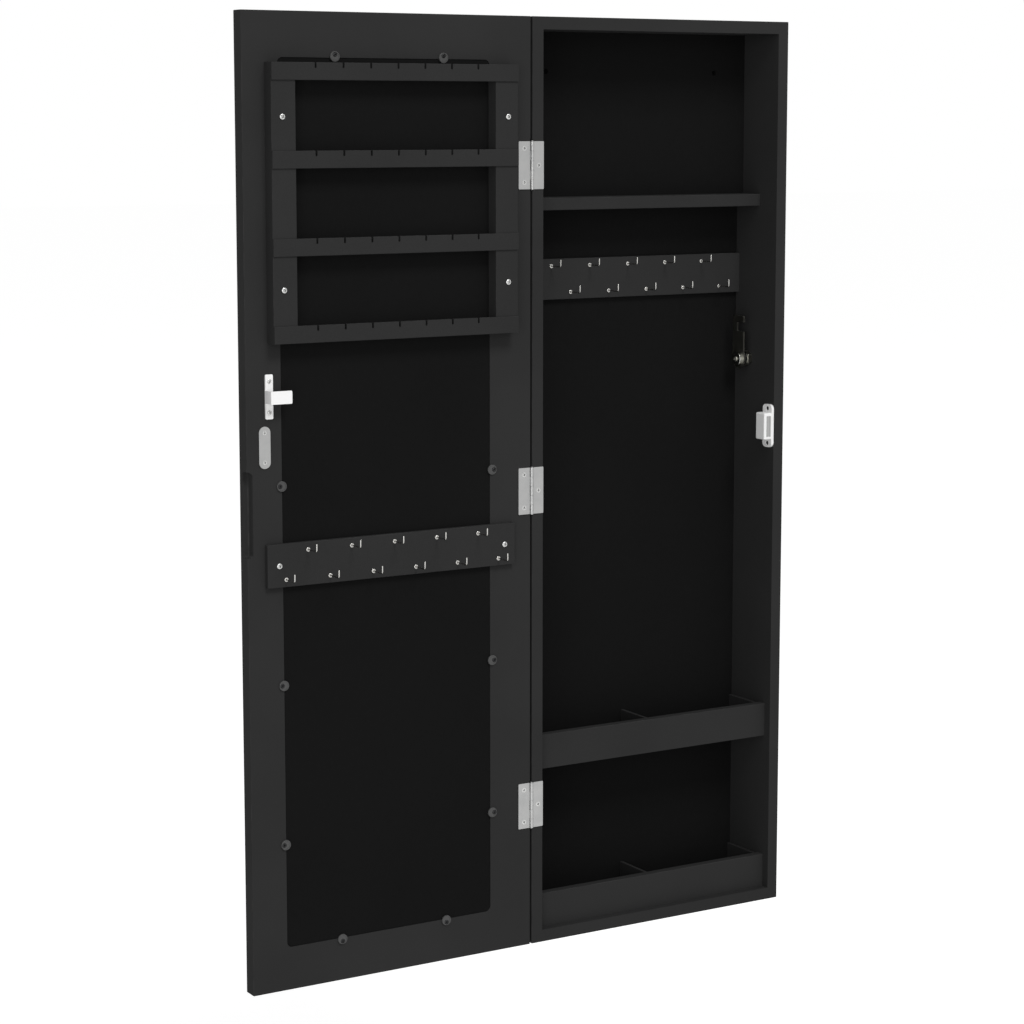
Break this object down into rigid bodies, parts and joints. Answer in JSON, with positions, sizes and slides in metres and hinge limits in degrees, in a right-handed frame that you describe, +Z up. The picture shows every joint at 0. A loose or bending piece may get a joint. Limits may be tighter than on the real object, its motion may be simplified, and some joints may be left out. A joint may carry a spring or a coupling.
{
  "type": "jewelry mirror cabinet",
  "caption": "Tall shallow wall-hung jewelry cabinet with a hinged mirror door, inner shelf, hook boards, divided trays, an earring rack, a cam lock and a magnetic catch.",
  "frame": {"origin": "midway between the two wall-screw holes, on the rear face that lies on the wall", "axes": "+X to the right as seen from the room, +Y into the wall, +Z up; the door stands open by half a turn at rest"},
  "size_m": [0.6254, 0.093, 0.9],
  "materials": {
    "black_board": "matt black laminate on fibreboard",
    "black_hardboard": "matt black hardboard",
    "mirror_glass": "silvered float glass",
    "nickel_wire": "bright nickel plate",
    "hinge_steel": "satin zinc plate",
    "zinc_screw": "bright zinc plate",
    "black_screw": "black zinc plate",
    "grey_plastic": "satin moulded grey",
    "white_metal": "white stove enamel",
    "plate_steel": "satin nickel plate",
    "white_plastic": "semi-gloss moulded white",
    "ferrite": "magnet with a ground light grey face",
    "lock_chrome": "bright chrome plate",
    "cam_steel": "dark nickel plate",
    "dowel_wood": "plain beech"
  },
  "bodies": {
    "case": {"back_panel": "black_hardboard", "back_panel_nails": "zinc_screw", "bottom_panel": "black_board", "case_hinge_leaf_lower": "hinge_steel", "case_hinge_leaf_middle": "hinge_steel", "case_hinge_leaf_upper": "hinge_steel", "case_hinge_screws": "zinc_screw", "case_hook_board": "black_board", "case_hooks": "nickel_wire", "catch_housing": "white_plastic", "catch_magnet": "ferrite", "catch_pole_plates": "plate_steel", "catch_screws": "black_screw", "hanging_board": "black_hardboard", "hinge_pins": "hinge_steel", "lock_housing": "lock_chrome", "lock_nut": "cam_steel", "lower_tray_divider": "black_board", "lower_tray_end_left": "black_board", "lower_tray_end_right": "black_board", "lower_tray_front": "black_board", "middle_tray_divider": "black_board", "middle_tray_end_left": "black_board", "middle_tray_end_right": "black_board", "middle_tray_floor": "black_board", "middle_tray_front": "black_board", "panel_dowels": "dowel_wood", "shelf": "black_board", "side_panel_left": "black_board", "side_panel_right": "black_board", "top_panel": "black_board"},
    "door": {"catch_plate_screws": "zinc_screw", "catch_strike_plate": "plate_steel", "disc_screws": "black_screw", "door_frame": "black_board", "door_hinge_leaf_lower": "hinge_steel", "door_hinge_leaf_middle": "hinge_steel", "door_hinge_leaf_upper": "hinge_steel", "door_hinge_screws": "zinc_screw", "door_hook_board": "black_board", "door_hooks": "nickel_wire", "hook_board_screws": "zinc_screw", "lock_strike": "white_metal", "lock_strike_screws": "zinc_screw", "mirror_backing": "black_hardboard", "mirror_pane": "mirror_glass", "rack_rail_1": "black_board", "rack_rail_2": "black_board", "rack_rail_3": "black_board", "rack_rail_4": "black_board", "rack_screws": "zinc_screw", "rack_stile_left": "black_board", "rack_stile_right": "black_board", "retaining_discs": "grey_plastic"},
    "lock": {"lock_plug": "lock_chrome", "lock_cam": "cam_steel", "cam_washer": "lock_chrome", "cam_screw": "lock_chrome"},
    "key": {"lock_key": "lock_chrome"}
  },
  "joints": [
    {"name": "door_hinge", "type": "hinge", "parent": "case", "child": "door", "pos_m": [-0.151, -0.071, -0.4], "axis": [0, 0, 1], "range_deg": [0, 180]},
    {"name": "lock_turn", "type": "hinge", "parent": "case", "child": "lock", "pos_m": [0.15, -0.0244, -0.289], "axis": [1, 0, 0], "range_deg": [0, 90]},
    {"name": "key_withdraw", "type": "slide", "parent": "lock", "child": "key", "axis": [1, 0, 0], "range_m": [0, 0.02]}
  ]
}
